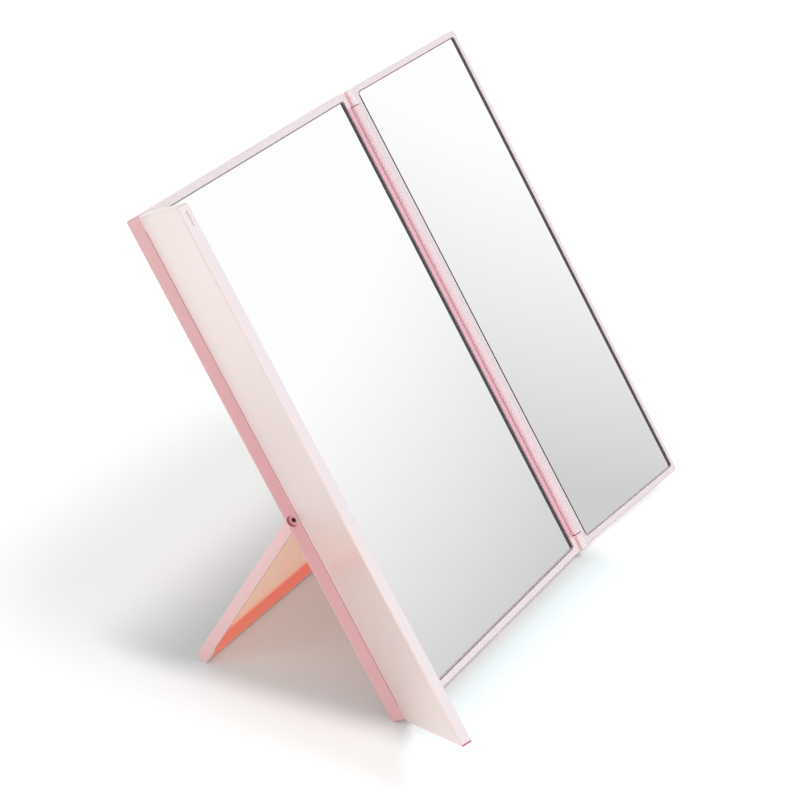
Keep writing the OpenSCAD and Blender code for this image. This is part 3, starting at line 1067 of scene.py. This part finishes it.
@dataclass
class CentrePanel:
    """The centre panel with its cover, glass, tape, screws and hinge pins."""

    sizes: PanelSizes
    frame: PanelFrame
    finishes: Finishes
    body: str = "centre_panel"

    def build(self, nodes: dict[str, bpy.types.Object]) -> None:
        """Makes its pieces.

        Args:
            nodes: the CAD nodes by name.
        """
        s, f = self.sizes, self.finishes
        for node in ("centre_frame", "rear_cover"):
            skin = PanelSkin(s, self.frame)
            MouldedPiece(node, self.body, "pink_shell", f.body_pink, skin,
                         cuts=skin.cuts()).build(nodes)
            LOG.info("%s built", node)
        MirrorGlass("centre_mirror", self.body, self.frame.matrix, s.rim_x + s.glass_gap,
                    s.width - s.rim_x - s.glass_gap, s.end_rim + s.glass_gap,
                    s.height - s.end_rim - s.glass_gap, f.silver, f.glass_edge,
                    f.arris).build()
        LOG.info("centre_mirror built")
        CoverScrews(self.frame, f.black).build(nodes)
        LOG.info("cover_screws built")
        carry(nodes, ["centre_mirror_tape"], f.foam)
        carry(nodes, ["left_top_hinge_pin", "left_bottom_hinge_pin", "right_top_hinge_pin",
                      "right_bottom_hinge_pin"], f.steel)
        carry(nodes, ["stand_washers"], f.nylon)


@dataclass
class Wing:
    """One mirrored wing with its hinge barrel."""

    side: Side
    sizes: PanelSizes
    frame: PanelFrame
    finishes: Finishes

    def build(self, nodes: dict[str, bpy.types.Object]) -> None:
        """Makes its pieces.

        Args:
            nodes: the CAD nodes by name.
        """
        s, f, name = self.sizes, self.finishes, self.side.value
        body = f"{name}_wing"
        fold = s.left_fold if self.side is Side.LEFT else s.right_fold
        MouldedPiece(f"{name}_wing_shell", body, "pink_shell", f.wing_pink,
                     WingSkin(s, self.frame)).build(nodes)
        LOG.info("%s_wing_shell built", name)
        MirrorGlass(f"{name}_wing_mirror", body, self.frame.wing(self.side, s.width, fold),
                    s.wing_rim + s.glass_gap, s.wing_width - s.free_rim - s.glass_gap,
                    s.end_rim + s.glass_gap, s.height - s.end_rim - s.glass_gap,
                    f.silver, f.glass_edge, f.arris, rim=0.12, near=0.45).build()
        LOG.info("%s_wing_mirror built", name)
        carry(nodes, [f"{name}_wing_tape"], f.foam)
        carry(nodes, [f"{name}_friction_sleeves"], f.nylon)


@dataclass
class StandSkin:
    """The skin of the stand: shaded colour outside, painted light inside and painted shade at the
    foot.
    """

    frame: PanelFrame
    pivot: Vector
    opening: float = 62.1
    length: float = 69.5
    boss: float = 4.0
    # where the painted shade at the foot fades out, counted from the foot
    foot_shade_fade: tuple[float, float] = (1.0, 6.0)
    changes: tuple[float, ...] = (2.5, 4.0, 6.0)

    def __post_init__(self) -> None:
        """Works out the directions of the opened stand."""
        turn = math.radians(self.opening)
        _, back, up = self.frame.axes
        self.ahead = -back * math.cos(turn) - up * math.sin(turn)
        self.along = -back * math.sin(turn) + up * math.cos(turn)

    def _inside(self, point: Vector, normal: Vector) -> bool:
        """Whether a face looks into the hollow between the arms.

        Args:
            point: a point in the row frame.
            normal: its normal.

        Returns:
            True for the inner faces of the plate, the arms and the foot.
        """
        from_pivot = (point - self.pivot) / MM
        level = from_pivot.dot(self.along)
        plate = normal.dot(self.ahead) > SQUARE and from_pivot.dot(self.ahead) < 0.0
        arm = from_pivot.x * normal.x < 0.0 and abs(normal.x) > SQUARE and level < -self.boss
        foot = normal.dot(self.along) > SQUARE and level < -self.length / 2
        return plate or arm or foot

    def cuts(self) -> list[tuple[Vector, Vector]]:
        """Planes across the plate at which its colour changes."""
        return [(self.pivot + self.along * (level - self.length) * MM, self.along)
                for level in self.changes]

    def tone(self, point: Vector, normal: Vector) -> float:
        """Shaded colour outside, painted light inside."""
        return 0.0 if self._inside(point, normal) else 1.0

    def painted_bounce(self, point: Vector, normal: Vector) -> float:
        """No painted pink bounce light."""
        return 0.0

    def painted_shade_and_flow_mark(self, point: Vector, normal: Vector) -> float:
        """Painted shade on the foot's wall and beside it.

        Args:
            point: a point in the row frame.
            normal: its normal.

        Returns:
            The share of the deep colour.
        """
        if not self._inside(point, normal):
            return 0.0
        level = (point - self.pivot).dot(self.along) / MM + self.length
        return 1.0 - step(level, *self.foot_shade_fade)


@dataclass
class Stand:
    """The fold-out stand with its two pivot pins."""

    frame: PanelFrame
    finishes: Finishes
    pivot: Vector
    body: str = "stand_body"

    def build(self, nodes: dict[str, bpy.types.Object]) -> None:
        """Makes its pieces.

        Args:
            nodes: the CAD nodes by name.
        """
        skin = StandSkin(self.frame, self.pivot)
        MouldedPiece("stand", self.body, "pink_stand", self.finishes.stand_pink, skin,
                     cuts=skin.cuts()).build(nodes)
        LOG.info("stand built")
        carry(nodes, ["left_stand_pin", "right_stand_pin"], self.finishes.black)


def carry(nodes: dict[str, bpy.types.Object], names: Iterable[str],
          material: bpy.types.Material) -> None:
    """Gives CAD nodes that keep their own shape a finish.

    Args:
        nodes: the CAD nodes by name.
        names: those that get the finish.
        material: the finish.
    """
    for name in names:
        mesh = nodes[name].data
        mesh.materials.clear()
        mesh.materials.append(material)
        LOG.info("%s dressed", name)


# --------------------------------------------------------------------------- stage


@dataclass
class PhotoCamera:
    """The camera at the photograph's angle, without a lens shift."""

    place: tuple[float, float, float] = (-0.7473, -0.3739, 0.4773)
    turn: tuple[float, float, float] = (64.2186, -1.0783, -62.059)
    lens: float = 130.0347

    def build(self) -> None:
        """Makes it the scene's camera."""
        data = bpy.data.cameras.new("camera")
        data.lens = self.lens
        data.sensor_width = 36.0
        data.clip_start = 0.01
        data.clip_end = 100.0
        camera = bpy.data.objects.new("camera", data)
        camera.location = self.place
        camera.rotation_euler = [math.radians(a) for a in self.turn]
        bpy.context.scene.collection.objects.link(camera)
        bpy.context.scene.camera = camera


@dataclass(frozen=True)
class SoftLamp:
    """A large, distant and soft lamp that lights the whole table evenly."""

    name: str
    towards: tuple[float, float, float]
    spread: float
    level: float

    def build(self) -> None:
        """Adds the lamp, its power set so that a white face turned to it shows the level."""
        data = bpy.data.lights.new(self.name, "SUN")
        data.angle = math.radians(self.spread)
        data.energy = math.pi * self.level
        lamp = bpy.data.objects.new(self.name, data)
        lamp.location = self.towards
        lamp.rotation_euler = (-Vector(self.towards)).to_track_quat("-Z", "Y").to_euler()
        bpy.context.scene.collection.objects.link(lamp)


@dataclass
class Studio:
    """White table, white surroundings and large soft lamps.

    The lift brightens the table for the camera and in reflections only: little beside the
    footprint, given as middle and half sizes, and fully at the distance of the fade. So the
    table round the footprint keeps its rendered shadow and gets painted shadow on top,
    tinted blue-green near it against the pink bounce light.
    """

    floor_size: float = 6.0
    floor_white: Colour = (0.825, 0.86, 0.862)
    # table brightness for the camera: the dim blue-green near colour paints shadow round the
    # footprint, the far colour makes the table white
    floor_lift_and_painted_shadow: tuple[Colour, Colour] = ((0.064, 0.104, 0.108), (0.424, 0.43, 0.43))
    footprint: tuple[float, float, float, float] = (-0.009, 0.012, 0.060, 0.038)
    fade: float = 0.045
    steep_x: float = 2.4
    farthest: float = 10.0
    mottle: float = 0.005
    fill: float = 0.42
    lamps: tuple[SoftLamp, ...] = (SoftLamp("key", (-0.06, -0.55, 0.9), 30.0, 0.44),
                                   SoftLamp("side", (-1.15, 0.75, 0.3), 36.0, 0.27),
                                   SoftLamp("low", (-0.9, -0.42, 0.14), 40.0, 0.20))
    glow_to: tuple[float, float, float] = (9.64, -7.13, 5.48)
    glow_level: float = -11.9
    dim: float = 0.63

    def build(self) -> None:
        """Makes the floor, the lamps and the world."""
        self._floor()
        for lamp in self.lamps:
            lamp.build()
        self._world()

    def _floor(self) -> None:
        """Makes the table."""
        bm = bmesh.new()
        bmesh.ops.create_grid(bm, x_segments=2, y_segments=2, size=self.floor_size / 2)
        g, material = Graph.material("white_table")
        path = g.node("ShaderNodeLightPath")
        seen = (path["Is Camera Ray"] + path["Is Glossy Ray"]
                + path["Is Transmission Ray"]).clamp()
        brighter = tuple(value + self.mottle for value in self.floor_white)
        base = g.node("ShaderNodeBsdfDiffuse", {}, {
            "Color": g.mix(g.noise(g.place(), 0.2, 2.0), self.floor_white, brighter)})
        at = g.node("ShaderNodeSeparateXYZ", {}, {"Vector": g.place()})
        cx, cy, half_x, half_y = self.footprint
        away_x = self.steep_x * ((at["X"] - cx).size() - half_x).clamp(0.0, self.farthest)
        away_y = ((at["Y"] - cy).size() - half_y).clamp(0.0, self.farthest)
        away = (away_x * away_x + away_y * away_y) ** 0.5
        # painted shadow: the lift stays low round the footprint and rises to full with distance
        colour = g.mix(away.smooth(0.0, self.fade), *self.floor_lift_and_painted_shadow)
        lift = g.node("ShaderNodeEmission", {}, {"Color": colour, "Strength": seen})
        both = g.node("ShaderNodeAddShader", {}, {0: base["BSDF"], 1: lift["Emission"]})
        g.node("ShaderNodeOutputMaterial", {}, {"Surface": both["Shader"]})
        link("table", bm, [material])

    def _world(self) -> None:
        """Makes the surroundings: an even fill, and a glow that only reflections show."""
        world = bpy.data.worlds.new("surroundings")
        bpy.context.scene.world = world
        world.use_nodes = True
        g = Graph(world.node_tree)
        path = g.node("ShaderNodeLightPath")
        way = g.node("ShaderNodeTexCoord")["Generated"]
        glow = g.node("ShaderNodeVectorMath", {"operation": "DOT_PRODUCT"},
                      {0: way, 1: self.glow_to})["Value"]
        level = (glow + self.glow_level).clamp(self.dim, 1.0)
        glossy = (path["Is Glossy Ray"] + path["Is Transmission Ray"]).clamp()
        camera = path["Is Camera Ray"]
        strength = self.fill * (1.0 - glossy) * (1.0 - camera) + glossy * level + camera
        back = g.node("ShaderNodeBackground", {}, {"Color": (1.0, 1.0, 1.0),
                                                    "Strength": strength})
        g.node("ShaderNodeOutputWorld", {}, {"Surface": back["Background"]})


def main() -> None:
    """Builds the dressed mirror, the camera and the studio."""
    logging.basicConfig(level=logging.INFO)
    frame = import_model()
    nodes = frame["nodes"]
    sizes = PanelSizes()
    panel = PanelFrame(frame["joints"], sizes.height)
    finishes = Finishes()
    CentrePanel(sizes, panel, finishes).build(nodes)
    for side in Side:
        Wing(side, sizes, panel, finishes).build(nodes)
    pivot = next(j for j in frame["joints"] if j["name"] == "stand_pivot")
    Stand(panel, finishes, Vector(pivot["pos_m"])).build(nodes)
    PhotoCamera().build()
    Studio().build()
    LOG.info("camera and studio set up")
    bpy.context.scene.view_settings.view_transform = "Standard"


if __name__ == "__main__":
    main()
